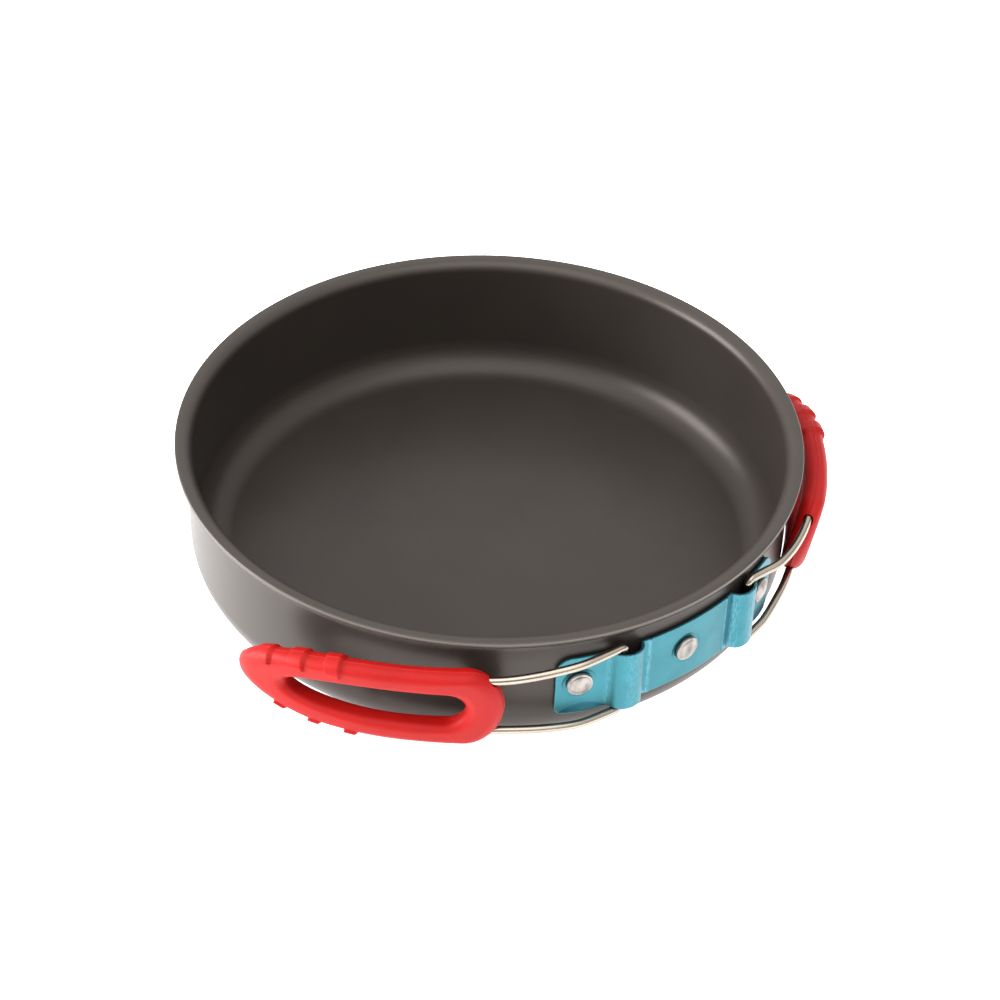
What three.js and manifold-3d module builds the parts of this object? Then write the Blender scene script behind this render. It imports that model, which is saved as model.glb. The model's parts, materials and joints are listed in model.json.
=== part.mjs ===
// Camping frying pan with two folding wire handles.
// Units are millimetres. +Z is up, the pan stands on z = 0 with its axis on the origin,
// and the bracket that carries the handles is on the -Y side.
import * as THREE from 'three';
import { mergeVertices } from 'three/addons/utils/BufferGeometryUtils.js';
import Module from 'manifold-3d';

const wasm = await Module();
wasm.setup();

// ---------------------------------------------------------------- driving dimensions
const GAP = 0.3;                  // clearance kept between neighbouring pieces

const LIP_RADIUS = 100;           // outer edge of the flared lip
const PAN_HEIGHT = 45.4;
const WALL_OUTER = 96.5;          // outer radius of the upright wall
const WALL_THICKNESS = 2.0;
const CORNER_RADIUS = 13;         // outside radius between wall and base
const FLARE_START = 38.7;         // height where the outside of the wall starts to flare
const FLARE_RADIUS = 5.0;         // concave radius under the lip
const FLARE_ANGLE = 70;           // degrees turned under the lip
const ROLL_RADIUS = 3.6;          // convex radius from the inner wall over to the lip
const ROLL_START = 41.5;          // height where the inner wall starts to roll over
const ROLL_ANGLE = 82;            // degrees turned on the inner side
const PAN_SEGMENTS = 64;

const STRAP_THICKNESS = 1.0;
const STRAP_BOTTOM = 13.4;
const STRAP_TOP = 35;
const STRAP_MID = WALL_OUTER + GAP + STRAP_THICKNESS / 2 + 0.1;  // mid-line radius of the strap
const STRAP_END_ANGLE = 25.7;     // degrees from the middle of the bracket to the end of a tab
const TAB_TOP_ROUND = 5.0;
const TAB_BOTTOM_ROUND = 2.5;
const KNUCKLE_ANGLE = 12.9;       // degrees from the middle of the bracket to the left knuckle
const RIGHT_SHIFT = 1.9;          // degrees that the right knuckle stands further out
// Mid-line of a knuckle: distance towards the tab, and distance out from the strap.
const KNUCKLE = [
  [-5.6, 0], [-5.2, 1.0], [-4.3, 2.5], [-2.8, 3.5], [-0.6, 3.95],
  [1.6, 3.6], [3.2, 2.55], [4.4, 1.1], [5.4, 0.25], [6.6, 0],
];

const RIVET_ANGLE = 21.4;
const RIVET_HEIGHT = 25;
const RIVET_SHANK = 1.85;
const RIVET_HOLE = RIVET_SHANK + GAP;
const RIVET_HEAD = 4.1;
const RIVET_HEAD_RISE = 1.45;
const RIVET_INNER_HEAD = 3.4;
const RIVET_INNER_RISE = 0.9;

const WIRE_RADIUS = 1.3;
const WIRE_SIDES = 8;
const PIVOT_ANGLE = 13.4;         // degrees from the middle of the bracket to the left pivot legs
const PIVOT_RADIUS = 98.75;       // distance of a pivot leg from the pan's axis
const HANDLE_MIDDLE = (STRAP_BOTTOM + STRAP_TOP) / 2;
const ARM_RISE = (STRAP_TOP - STRAP_BOTTOM) / 2 + GAP + WIRE_RADIUS;  // arm height at the pivot
const LEG_END_RISE = 3.2;         // where a pivot leg ends, above or below the middle
const BEND_RADIUS = 2.2;
const ENTRY_RUN = 7;              // length over which the arm joins the grip's curve
const ARM_STEPS = 14;
const LIMB_STEPS = 8;
const TURN_STEPS = 6;
// Route of the wire from the pivot to the grip: angle from the bracket, radius, and the share
// of the handle's settling that reaches it.
const ARM_ROUTE = [[17.6, 100.3, 0.3], [22.0, 102.0, 0.8], [27.0, 102.6, 1], [32.0, 103.0, 1]];

const GRIP_START = new THREE.Vector2(57.8, -85.4);  // end of the grip nearest to the pivot
const GRIP_START_ANGLE = 32;      // degrees, direction of the grip there, from +X
const GRIP_BEND = 120;            // plan radius of the grip
const GRIP_DROOP = 0.035;         // how far the grip sinks per millimetre of its length
const GRIP_THICKNESS = 7.0;
const GRIP_ROUND = 3.2;           // edge rounding of the silicone
// Side view of the grip and of its finger hole, measured along the grip: an elliptical near end
// from start to near, straight sides from near to far, and a long tapering far end up to end.
const GRIP_SIDE = { start: 1.2, near: 12, far: 30, end: 83, half: 14.2, power: 2.2 };
const HOLE_SIDE = { start: 12.3, near: 19, far: 30, end: 67, half: 6.6, power: 2.4 };
const WIRE_ENTRY = 4.5;           // where the wire meets the grip's own curve
const WIRE_TURN = 58;             // where the wire's far bend starts
const WIRE_END = 75;              // far end of the wire's bend
const RIB_SPACING = 11.25;
const TOP_RIB = 51;               // first rib on the upper limb
const BOTTOM_RIB = 46;            // first rib on the lower limb
const RIB_COUNT = 3;
const RIB_WIDTH = 4.6;
const RIB_RISE = 0.8;
const RIB_DEPTH = 4.4;            // how far a rib reaches down the limb
// The pivot legs are loose in the knuckles, so each folded handle settles in its own way:
// lean is how far its foot tips towards the pan per millimetre of height, inset how far it
// shifts in, and turn how many degrees it swings in about its pivot.
const HANDLES = [
  { word: 'left', side: -1, lean: 0.045, inset: 0, turn: 0, shift: 0 },
  { word: 'right', side: 1, lean: 0.17, inset: 0.6, turn: 1.0, shift: RIGHT_SHIFT },
];

// ---------------------------------------------------------------- materials
function material(name, color, roughness, metalness) {
  return new THREE.MeshStandardMaterial({ name, color, roughness, metalness });
}

const ANODISED = () => material('hard_anodised_aluminium', 0x55504b, 0.55, 0.75);
const TEAL = () => material('teal_anodised_aluminium', 0x5cb8c8, 0.4, 0.7);
const RIVET = () => material('bare_aluminium', 0xd7cdc8, 0.35, 0.9);
const STEEL = () => material('stainless_wire', 0xc8beaf, 0.25, 1.0);
const SILICONE = () => material('red_silicone', 0xee4036, 0.5, 0.0);

// ---------------------------------------------------------------- small helpers
const rad = THREE.MathUtils.degToRad;

// Plan point at an angle from the middle of the bracket (towards +X) and a radius.
function polar(angle, radius) {
  return new THREE.Vector2(radius * Math.sin(rad(angle)), -radius * Math.cos(rad(angle)));
}

function arcPoints(cx, cy, radius, from, to, count) {
  const points = [];
  for (let i = 0; i <= count; i += 1) {
    const a = rad(from + (to - from) * i / count);
    points.push(new THREE.Vector2(cx + radius * Math.cos(a), cy + radius * Math.sin(a)));
  }
  return points;
}

// Position-only geometry with merged vertices, its faces pointing outwards.
function closed(geometry) {
  const bare = new THREE.BufferGeometry();
  bare.setAttribute('position', geometry.getAttribute('position'));
  if (geometry.index) {
    bare.setIndex(geometry.index);
  }
  const merged = mergeVertices(bare, 1e-4);
  const p = merged.getAttribute('position').array;
  const source = merged.index.array;
  const index = [];
  for (let i = 0; i < source.length; i += 3) {
    const [a, b, c] = source.slice(i, i + 3);
    if (a !== b && b !== c && a !== c) {
      index.push(a, b, c);
    }
  }
  const corner = (i) => new THREE.Vector3(p[3 * i], p[3 * i + 1], p[3 * i + 2]);
  let volume = 0;
  for (let i = 0; i < index.length; i += 3) {
    const [a, b, c] = [corner(index[i]), corner(index[i + 1]), corner(index[i + 2])];
    volume += a.dot(b.cross(c));
  }
  if (volume < 0) {
    for (let i = 0; i < index.length; i += 3) {
      [index[i + 1], index[i + 2]] = [index[i + 2], index[i + 1]];
    }
  }
  merged.setIndex(index);
  return merged;
}

function solid(geometry) {
  const shape = closed(geometry);
  return new wasm.Manifold(new wasm.Mesh({
    numProp: 3,
    vertProperties: new Float32Array(shape.getAttribute('position').array),
    triVerts: new Uint32Array(shape.index.array),
  }));
}

function geometryOf(manifold) {
  const mesh = manifold.getMesh();
  const geometry = new THREE.BufferGeometry();
  geometry.setAttribute('position', new THREE.BufferAttribute(mesh.vertProperties, 3));
  geometry.setIndex(new THREE.BufferAttribute(mesh.triVerts, 1));
  return geometry;
}

function named(name, geometry, look) {
  const tidy = geometry.clone();
  tidy.computeVertexNormals();
  const mesh = new THREE.Mesh(tidy, look);
  mesh.name = name;
  return mesh;
}

// A path whose sections stand exactly at the listed points.
class ListedPath extends THREE.Curve {
  constructor(points) {
    super();
    this.points = points;
  }

  getPoint(t, target = new THREE.Vector3()) {
    const last = this.points.length - 1;
    const place = Math.min(Math.max(t, 0), 1) * last;
    const i = Math.min(Math.floor(place), last - 1);
    return target.lerpVectors(this.points[i], this.points[i + 1], place - i);
  }

  getPointAt(u, target) {
    return this.getPoint(u, target);
  }

  getTangentAt(u, target = new THREE.Vector3()) {
    const last = this.points.length - 1;
    const i = Math.round(u * last);
    const before = this.points[Math.max(i - 1, 0)];
    const after = this.points[Math.min(i + 1, last)];
    return target.subVectors(after, before).normalize();
  }
}

function tube(points, radius, sides) {
  const section = new THREE.Shape(arcPoints(0, 0, radius, 0, 360 - 360 / sides, sides - 1));
  return new THREE.ExtrudeGeometry(section, {
    steps: points.length - 1,
    extrudePath: new ListedPath(points),
    bevelEnabled: false,
  });
}

// A cylinder that runs outwards through the wall at the given angle.
function radialCylinder(angle, radius, from, to, sides) {
  const pin = new THREE.CylinderGeometry(radius, radius, to - from, sides);
  pin.translate(0, -(from + to) / 2, 0);
  pin.rotateZ(rad(angle));
  pin.translate(0, 0, RIVET_HEIGHT);
  return pin;
}

// ---------------------------------------------------------------- pan body
function panProfile() {
  const inner = WALL_OUTER - WALL_THICKNESS;
  const flat = WALL_OUTER - CORNER_RADIUS;
  const flareX = WALL_OUTER + FLARE_RADIUS;
  const rollX = inner + ROLL_RADIUS;
  const outside = [
    new THREE.Vector2(0, 0),
    ...arcPoints(flat, CORNER_RADIUS, CORNER_RADIUS, -90, 0, 7),
    ...arcPoints(flareX, FLARE_START, FLARE_RADIUS, 180, 180 - FLARE_ANGLE, 5),
  ];
  const underLip = outside[outside.length - 1];
  const lip = [
    new THREE.Vector2(LIP_RADIUS, underLip.y + 0.35),
    new THREE.Vector2(LIP_RADIUS, PAN_HEIGHT - 0.5),
    new THREE.Vector2(LIP_RADIUS - 0.5, PAN_HEIGHT),
  ];
  const inside = [
    ...arcPoints(rollX, ROLL_START, ROLL_RADIUS, 180 - ROLL_ANGLE, 180, 5),
    ...arcPoints(flat, CORNER_RADIUS, CORNER_RADIUS - WALL_THICKNESS, 0, -90, 7),
    new THREE.Vector2(0, WALL_THICKNESS),
  ];
  return [...outside, ...lip, ...inside];
}

function panBody() {
  const turned = new THREE.LatheGeometry(panProfile(), PAN_SEGMENTS);
  turned.rotateX(Math.PI / 2);
  let body = solid(turned);
  for (const angle of [-RIVET_ANGLE, 0, RIVET_ANGLE]) {
    const from = WALL_OUTER - WALL_THICKNESS - 2;
    body = body.subtract(solid(radialCylinder(angle, RIVET_HOLE, from, WALL_OUTER + 2, 16)));
  }
  return named('pan_body', geometryOf(body), ANODISED());
}

// ---------------------------------------------------------------- bracket
// Mid-line of the strap from the middle of the bracket to the end of a tab.
function strapMidline(side) {
  const perMm = 180 / (Math.PI * STRAP_MID);
  const knuckle = KNUCKLE_ANGLE + (side > 0 ? RIGHT_SHIFT : 0);
  const from = knuckle + KNUCKLE[0][0] * perMm;
  const to = knuckle + KNUCKLE[KNUCKLE.length - 1][0] * perMm;
  const points = [];
  for (let i = 0; i < 3; i += 1) {
    points.push(polar(side * from * i / 3, STRAP_MID));
  }
  for (const [along, out] of KNUCKLE) {
    points.push(polar(side * (knuckle + along * perMm), STRAP_MID + out));
  }
  for (let i = 1; i <= 3; i += 1) {
    points.push(polar(side * (to + (STRAP_END_ANGLE - to) * i / 3), STRAP_MID));
  }
  return points;
}

function offsetLine(points, distance) {
  return points.map((point, i) => {
    const before = points[Math.max(i - 1, 0)];
    const after = points[Math.min(i + 1, points.length - 1)];
    const along = after.clone().sub(before).normalize();
    return new THREE.Vector2(point.x + along.y * distance, point.y - along.x * distance);
  });
}

// Takes a rounded corner off the end of a tab.
function cornerCutter(side, atTop, round) {
  const edge = new THREE.Shape();
  const out = 3;
  edge.moveTo(out, out);
  edge.lineTo(-round, out);
  edge.lineTo(-round, 0);
  edge.absarc(-round, -round, round, Math.PI / 2, 0, true);
  edge.lineTo(out, -round);
  edge.closePath();
  const block = new THREE.ExtrudeGeometry(edge, { depth: 12, bevelEnabled: false, curveSegments: 6 });
  block.translate(0, 0, -6);
  block.rotateX(Math.PI / 2);
  block.scale(side, 1, atTop ? 1 : -1);
  block.translate(0, -STRAP_MID, atTop ? STRAP_TOP : STRAP_BOTTOM);
  block.rotateZ(rad(side * STRAP_END_ANGLE));
  return block;
}

function bracket() {
  const left = strapMidline(-1).reverse();
  const midline = [...left.slice(0, -1), ...strapMidline(1)];
  const outline = [
    ...offsetLine(midline, STRAP_THICKNESS / 2),
    ...offsetLine(midline, -STRAP_THICKNESS / 2).reverse(),
  ];
  const strip = new THREE.ExtrudeGeometry(new THREE.Shape(outline), {
    depth: STRAP_TOP - STRAP_BOTTOM,
    bevelEnabled: false,
  });
  strip.translate(0, 0, STRAP_BOTTOM);
  let strap = solid(strip);
  for (const side of [-1, 1]) {
    strap = strap.subtract(solid(cornerCutter(side, true, TAB_TOP_ROUND)));
    strap = strap.subtract(solid(cornerCutter(side, false, TAB_BOTTOM_ROUND)));
  }
  for (const angle of [-RIVET_ANGLE, 0, RIVET_ANGLE]) {
    strap = strap.subtract(solid(radialCylinder(angle, RIVET_HOLE, WALL_OUTER - 2, WALL_OUTER + 6, 16)));
  }
  return named('handle_bracket', geometryOf(strap), TEAL());
}

// ---------------------------------------------------------------- rivets
function rivet(name, angle) {
  const headBase = STRAP_MID + STRAP_THICKNESS / 2 + GAP;
  const headTop = headBase + RIVET_HEAD_RISE;
  const innerBase = WALL_OUTER - WALL_THICKNESS - GAP;
  const profile = [
    new THREE.Vector2(0, innerBase - RIVET_INNER_RISE),
    new THREE.Vector2(RIVET_INNER_HEAD * 0.75, innerBase - RIVET_INNER_RISE * 0.85),
    new THREE.Vector2(RIVET_INNER_HEAD, innerBase - RIVET_INNER_RISE * 0.35),
    new THREE.Vector2(RIVET_INNER_HEAD, innerBase),
    new THREE.Vector2(RIVET_SHANK, innerBase),
    new THREE.Vector2(RIVET_SHANK, headBase),
    new THREE.Vector2(RIVET_HEAD, headBase),
    new THREE.Vector2(RIVET_HEAD, headBase + 0.35),
    new THREE.Vector2(RIVET_HEAD * 0.88, headBase + RIVET_HEAD_RISE * 0.6),
    new THREE.Vector2(RIVET_HEAD * 0.5, headBase + RIVET_HEAD_RISE * 0.92),
    new THREE.Vector2(0, headTop),
  ];
  const body = new THREE.LatheGeometry(profile, 18);
  body.rotateX(Math.PI);
  body.rotateZ(rad(angle));
  body.translate(0, 0, RIVET_HEIGHT);
  return named(name, closed(body), RIVET());
}

// ---------------------------------------------------------------- handles
// A point of the grip's plan curve: distance along it and distance out from it.
function gripPlace(along, out) {
  const start = rad(GRIP_START_ANGLE);
  const turn = along / GRIP_BEND;
  const centre = new THREE.Vector2(
    GRIP_START.x - GRIP_BEND * Math.sin(start),
    GRIP_START.y + GRIP_BEND * Math.cos(start),
  );
  const radius = GRIP_BEND + out;
  return new THREE.Vector2(
    centre.x + radius * Math.sin(start + turn),
    centre.y - radius * Math.cos(start + turn),
  );
}

// How far a handle settles outwards at a height above its middle line.
function settle(handle, rise) {
  return handle.lean * rise - handle.inset;
}

// A point of the grip in space: along its curve, up from its middle line and out from its curve.
function gripPoint(handle, along, rise, out) {
  const plan = gripPlace(along, out + settle(handle, rise));
  return new THREE.Vector3(handle.side * plan.x, plan.y, HANDLE_MIDDLE - GRIP_DROOP * along + rise);
}

// Half height of a side view at a place past its straight part.
function farHalf(view, along) {
  const share = Math.max(0, along - view.far) / (view.end - view.far);
  return view.half * (1 - share ** view.power) ** (1 / view.power);
}

// Height of the middle of a limb above the grip's middle line.
function limbRise(along) {
  return (farHalf(GRIP_SIDE, along) + farHalf(HOLE_SIDE, along)) / 2;
}

// Half of the wire, from the free end of one pivot leg to the far end of the grip.
// up is 1 for the upper half and -1 for the lower one.
function halfWire(handle, up) {
  const pivot = polar(PIVOT_ANGLE + handle.shift, PIVOT_RADIUS);
  const arms = ARM_ROUTE.map(([angle, radius, share]) => (
    [angle + handle.shift * (1 - share), radius, share]
  ));
  const heading = polar(arms[0][0], arms[0][1]).sub(pivot).normalize();
  const points = [];
  const add = (plan, rise) => {
    points.push(new THREE.Vector3(handle.side * plan.x, plan.y, HANDLE_MIDDLE + up * rise));
  };
  add(pivot, LEG_END_RISE);
  for (let i = 0; i <= 4; i += 1) {
    const a = rad(90 * i / 4);
    const out = BEND_RADIUS * (1 - Math.cos(a));
    add(pivot.clone().addScaledVector(heading, out), ARM_RISE - BEND_RADIUS * (1 - Math.sin(a)));
  }
  const entry = gripPoint(handle, WIRE_ENTRY, up * limbRise(0), 0);
  const inside = gripPoint(handle, WIRE_ENTRY + ENTRY_RUN, up * limbRise(0), 0);
  const knots = [
    pivot.clone().addScaledVector(heading, BEND_RADIUS),
    ...arms.map(([angle, radius, share]) => (
      polar(angle, radius + share * settle(handle, up * limbRise(0)))
    )),
    new THREE.Vector2(handle.side * entry.x, entry.y),
    new THREE.Vector2(handle.side * inside.x, inside.y),
  ];
  const route = new THREE.SplineCurve(knots);
  const entryShare = (knots.length - 2) / (knots.length - 1);
  for (let i = 1; i <= ARM_STEPS; i += 1) {
    const t = i / ARM_STEPS;
    const share = THREE.MathUtils.smoothstep(t, 0.25, entryShare);
    const inGrip = up * (inside.z - HANDLE_MIDDLE);
    add(route.getPoint(t), THREE.MathUtils.lerp(ARM_RISE, inGrip, share));
  }
  const start = WIRE_ENTRY + ENTRY_RUN;
  for (let i = 1; i <= LIMB_STEPS; i += 1) {
    const along = start + (WIRE_TURN - start) * i / LIMB_STEPS;
    points.push(gripPoint(handle, along, up * limbRise(along), 0));
  }
  for (let i = 1; i <= TURN_STEPS; i += 1) {
    const a = rad(90 * i / TURN_STEPS);
    const along = WIRE_TURN + (WIRE_END - WIRE_TURN) * Math.sin(a);
    points.push(gripPoint(handle, along, up * limbRise(WIRE_TURN) * Math.cos(a), 0));
  }
  return points;
}

function wirePath(handle) {
  return [...halfWire(handle, 1), ...halfWire(handle, -1).slice(0, -1).reverse()];
}

// Carries a geometry from (along, rise, out) onto the grip's curve.
function bendOntoGrip(geometry, handle) {
  const position = geometry.getAttribute('position');
  for (let i = 0; i < position.count; i += 1) {
    const bent = gripPoint(handle, position.getX(i), position.getY(i), position.getZ(i));
    position.setXYZ(i, bent.x, bent.y, bent.z);
  }
  return geometry;
}

// Outline of a side view, anticlockwise, with points along its straight sides.
function sideOutline(view, nearSteps, straightSteps, farSteps) {
  const points = [];
  for (let i = 0; i < nearSteps; i += 1) {
    const a = rad(90 + 180 * i / nearSteps);
    points.push(new THREE.Vector2(
      view.near + (view.near - view.start) * Math.cos(a),
      view.half * Math.sin(a),
    ));
  }
  const straight = (from, to, rise) => {
    for (let i = 0; i < straightSteps; i += 1) {
      points.push(new THREE.Vector2(from + (to - from) * i / straightSteps, rise));
    }
  };
  straight(view.near, view.far, -view.half);
  for (let i = 0; i < farSteps; i += 1) {
    const a = rad(-90 + 180 * i / farSteps);
    const reach = Math.abs(Math.cos(a)) ** (2 / view.power);
    const rise = Math.sign(Math.sin(a)) * Math.abs(Math.sin(a)) ** (2 / view.power);
    points.push(new THREE.Vector2(view.far + (view.end - view.far) * reach, view.half * rise));
  }
  straight(view.far, view.near, view.half);
  return points;
}

function gripBlank(handle) {
  const shape = new THREE.Shape(sideOutline(GRIP_SIDE, 8, 3, 20));
  shape.holes.push(new THREE.Path(sideOutline(HOLE_SIDE, 6, 2, 16)));
  const depth = GRIP_THICKNESS - 2 * GRIP_ROUND;
  const blank = new THREE.ExtrudeGeometry(shape, {
    depth,
    bevelEnabled: true,
    bevelThickness: GRIP_ROUND,
    bevelSize: GRIP_ROUND,
    bevelOffset: -GRIP_ROUND,
    bevelSegments: 3,
  });
  blank.translate(0, 0, -depth / 2);
  return bendOntoGrip(blank, handle);
}

// A raised band across the outer edge of a limb.
function rib(handle, along, top) {
  const half = GRIP_THICKNESS / 2 + RIB_RISE;
  const outer = farHalf(GRIP_SIDE, along) + RIB_RISE;
  const inner = outer - RIB_DEPTH;
  const round = GRIP_ROUND;
  const section = new THREE.Shape();
  section.moveTo(-half, inner);
  section.lineTo(half, inner);
  section.lineTo(half, outer - round);
  section.absarc(half - round, outer - round, round, 0, Math.PI / 2, false);
  section.absarc(-half + round, outer - round, round, Math.PI / 2, Math.PI, false);
  section.closePath();
  const band = new THREE.ExtrudeGeometry(section, {
    depth: RIB_WIDTH,
    bevelEnabled: false,
    curveSegments: 4,
  });
  band.translate(0, 0, -RIB_WIDTH / 2);
  band.rotateY(-Math.PI / 2);
  band.scale(1, top ? 1 : -1, 1);
  band.translate(along, 0, 0);
  return bendOntoGrip(band, handle);
}

function grip(handle, path) {
  let body = solid(gripBlank(handle));
  for (let i = 0; i < RIB_COUNT; i += 1) {
    body = body.add(solid(rib(handle, TOP_RIB + i * RIB_SPACING, true)));
    body = body.add(solid(rib(handle, BOTTOM_RIB + i * RIB_SPACING, false)));
  }
  // The bore starts well outside the grip, where the arms still run free.
  const free = Math.round(ARM_STEPS * 0.6);
  const bore = tube(path.slice(free, path.length - free), WIRE_RADIUS + GAP, WIRE_SIDES);
  body = body.subtract(solid(bore));
  return named(`grip_${handle.word}`, geometryOf(body), SILICONE());
}

// ---------------------------------------------------------------- assembly
const pan = new THREE.Group();
pan.add(panBody());
pan.add(bracket());
pan.add(rivet('rivet_left', -RIVET_ANGLE));
pan.add(rivet('rivet_centre', 0));
pan.add(rivet('rivet_right', RIVET_ANGLE));

// A group that turns about the handle's pivot, holding pieces made in the pan's own frame.
function folding(handle, pieces) {
  const pivot = polar(PIVOT_ANGLE + handle.shift, PIVOT_RADIUS);
  const swing = new THREE.Group();
  swing.position.set(handle.side * pivot.x, pivot.y, 0);
  swing.rotation.z = rad(handle.side * handle.turn);
  for (const piece of pieces) {
    piece.position.set(-handle.side * pivot.x, -pivot.y, 0);
    swing.add(piece);
  }
  return swing;
}

for (const handle of HANDLES) {
  const path = wirePath(handle);
  const wire = named(`wire_${handle.word}`, closed(tube(path, WIRE_RADIUS, WIRE_SIDES)), STEEL());
  pan.add(folding(handle, [wire, grip(handle, path)]));
}

export default pan;
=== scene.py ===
import json
import math

import bpy
import numpy as np
from mathutils import Matrix, Vector


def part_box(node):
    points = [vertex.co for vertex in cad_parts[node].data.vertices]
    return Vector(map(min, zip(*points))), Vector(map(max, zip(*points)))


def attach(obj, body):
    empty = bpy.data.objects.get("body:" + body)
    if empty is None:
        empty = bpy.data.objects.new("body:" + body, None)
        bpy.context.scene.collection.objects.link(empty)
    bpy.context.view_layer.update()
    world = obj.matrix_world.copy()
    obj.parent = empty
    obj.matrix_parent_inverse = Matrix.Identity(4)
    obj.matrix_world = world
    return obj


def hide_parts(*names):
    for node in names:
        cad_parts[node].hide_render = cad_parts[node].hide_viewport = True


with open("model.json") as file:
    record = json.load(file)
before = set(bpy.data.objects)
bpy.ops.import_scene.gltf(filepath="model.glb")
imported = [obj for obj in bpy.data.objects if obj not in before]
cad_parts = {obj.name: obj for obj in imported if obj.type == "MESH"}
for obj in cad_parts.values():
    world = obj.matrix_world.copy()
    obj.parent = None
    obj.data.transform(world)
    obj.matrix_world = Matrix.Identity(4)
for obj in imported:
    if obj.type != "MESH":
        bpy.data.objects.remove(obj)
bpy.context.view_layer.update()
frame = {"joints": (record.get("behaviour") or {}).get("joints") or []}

# Shapes are worked out in millimetres in the model's own frame; MM turns them into metres.
MM = 0.001


def box_mm(node):
    low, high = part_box(node)
    return np.array(low) / MM, np.array(high) / MM


def pivot_of(word):
    """Plan place of a handle's hinge, mirrored onto the right-hand side."""
    joint = next(j for j in frame["joints"] if j["name"] == f"{word}_handle_fold")
    x, y = joint["pos_m"][:2]
    return np.array([abs(x), y]) / MM


PAN_HIGH = box_mm("pan_body")[1]
STRAP_LOW, STRAP_HIGH = box_mm("handle_bracket")

# ---------------------------------------------------------------- driving dimensions
LIP_RADIUS = PAN_HIGH[0]
PAN_HEIGHT = PAN_HIGH[2]
LIP_REACH = 3.5                   # how far the lip stands out from the wall
WALL_OUTER = LIP_RADIUS - LIP_REACH
WALL_THICKNESS = 2.0
CORNER_RADIUS = 13.0              # outside radius between wall and base
FLARE_START = 38.7                # height where the outside of the wall starts to flare
FLARE_RADIUS = 5.0
FLARE_ANGLE = 70
ROLL_RADIUS = 3.6
ROLL_START = 41.5                 # height where the inner wall starts to roll over to the lip
ROLL_ANGLE = 82
LIP_ROUND = 0.55                  # rounding of the lip's edge
LIP_BEAD = 0.2                    # from the end of the flare up to the lip's edge
LIP_WEAR_AND_SHEEN = 0.05                 # how much paler the rolled lip grows towards its top: a little wear and a painted sheen where it catches the light
EDGE_WEAR_AND_HIGHLIGHT = 0.3                   # how pale the very edge of the lip is: worn, and a painted highlight along it
CENTRE_RADIUS = 4                 # innermost ring of points on the base and on the floor
FLAT_MARGIN = 3                   # from the outermost of those rings to the corner
FLAT_STEPS = 24
WALL_STEPS = 14
PAN_CORNER_STEPS = 40
PAN_SEGMENTS = 288

STRAP_BOTTOM = STRAP_LOW[2]
STRAP_TOP = STRAP_HIGH[2]
STRAP_THICKNESS = 1.0
STRAP_STANDOFF = 0.9              # from the wall to the strap's mid-line
STRAP_MID = WALL_OUTER + STRAP_STANDOFF
STRAP_END_ANGLE = 25.7            # degrees from the middle of the bracket to the end of a tab
STRAP_EDGE = 0.3                  # rounding of the strap's edges
TAB_TOP_ROUND = 5.0
TAB_BOTTOM_ROUND = 2.5
KNUCKLE_ANGLE = 12.9              # the left knuckle; the right one stands RIGHT_SHIFT further out
RIGHT_SHIFT = 1.9
# Mid-line of a knuckle: distance towards the tab, and distance out from the strap.
KNUCKLE = [
    (-5.6, 0), (-5.2, 1.0), (-4.3, 2.5), (-2.8, 3.5), (-0.6, 3.95),
    (1.6, 3.6), (3.2, 2.55), (4.4, 1.1), (5.4, 0.25), (6.6, 0),
]
# Places past the first and last points of a knuckle: the end of the plate, the start and end of
# the bent stretch, and the start of the tab.
PLATE_STOP = 1.5
BENT_START = 1.2
BENT_END = 1.5
TAB_START = 1.8
STRAP_STEPS = {"plate": 60, "bent": 240, "tab": 120, "even": 420}
STRAP_SMOOTHINGS = 5
FOLD_LINE = -8.3                  # first of the two fold lines beside a knuckle, on the plate
FOLD_GAP = 1.3                    # from the first fold line, a ridge, to the second, a groove
FOLD_RISE = 0.2
FOLD_SINK = 0.1
DIMPLE_RADIUS = 5.7               # pressed ring round a rivet
DIMPLE_DEPTH = 0.3
DIMPLE_SLOPE = 0.9
DIMPLE_BACK = 0.3                 # share of the depth that shows on the back of the strap
LENS_HEIGHT = 3.9                 # bent lower lip of a tab
LENS_DEPTH = 0.45
LENS_SHADE = 0.85                 # share of the painted shade, a darker teal, laid into the lip's hollow
FACE_POINTS = 84                  # points up each face of the strap's section
EDGE_POINTS = 5                   # points round each of its four corners
# Pale lines across the strap, worn along its folds, and a painted highlight over the knuckle's crown
# (the line at -0.5): how pale, where from the middle of the knuckle, and how wide.
CREASES = [
    (0.6, FOLD_LINE + 0.3, 0.5), (0.5, KNUCKLE[0][0] + 0.6, 0.8), (0.25, 5.2, 1.0), (0.25, -0.5, 2.2),
]
TOP_WEAR = 0.35
BOTTOM_WEAR = 0.5
END_WEAR = 0.4
RIM_WIDTH = 0.3                   # width of the worn line along an edge of the strap

RIVET_ANGLE = 21.4
RIVETS = {"left": -RIVET_ANGLE, "centre": 0, "right": RIVET_ANGLE}
RIVET_HEIGHT = 25.0
RIVET_SHANK = 1.85
RIVET_HEAD = 4.1
RIVET_RISE = 1.45
RIVET_RIM = 0.35                  # rounding of the head's rim
RIVET_RIM_HIGH = 0.4
RIVET_RIM_START = 0.3             # height of the head's upright side
RIVET_DOME = 3.3                  # radius of the low dome inside the rim
RIVET_SHOULDER = 0.78             # height at which the dome starts
RIVET_INNER_HEAD = 3.4
RIVET_INNER_RISE = 0.9
RIVET_SEGMENTS = 56
HOLE_PLAY = 0.08                  # how much wider a rivet hole is than the shank
HOLE_SIDES = 32
CLEARANCE = 0.3

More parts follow.
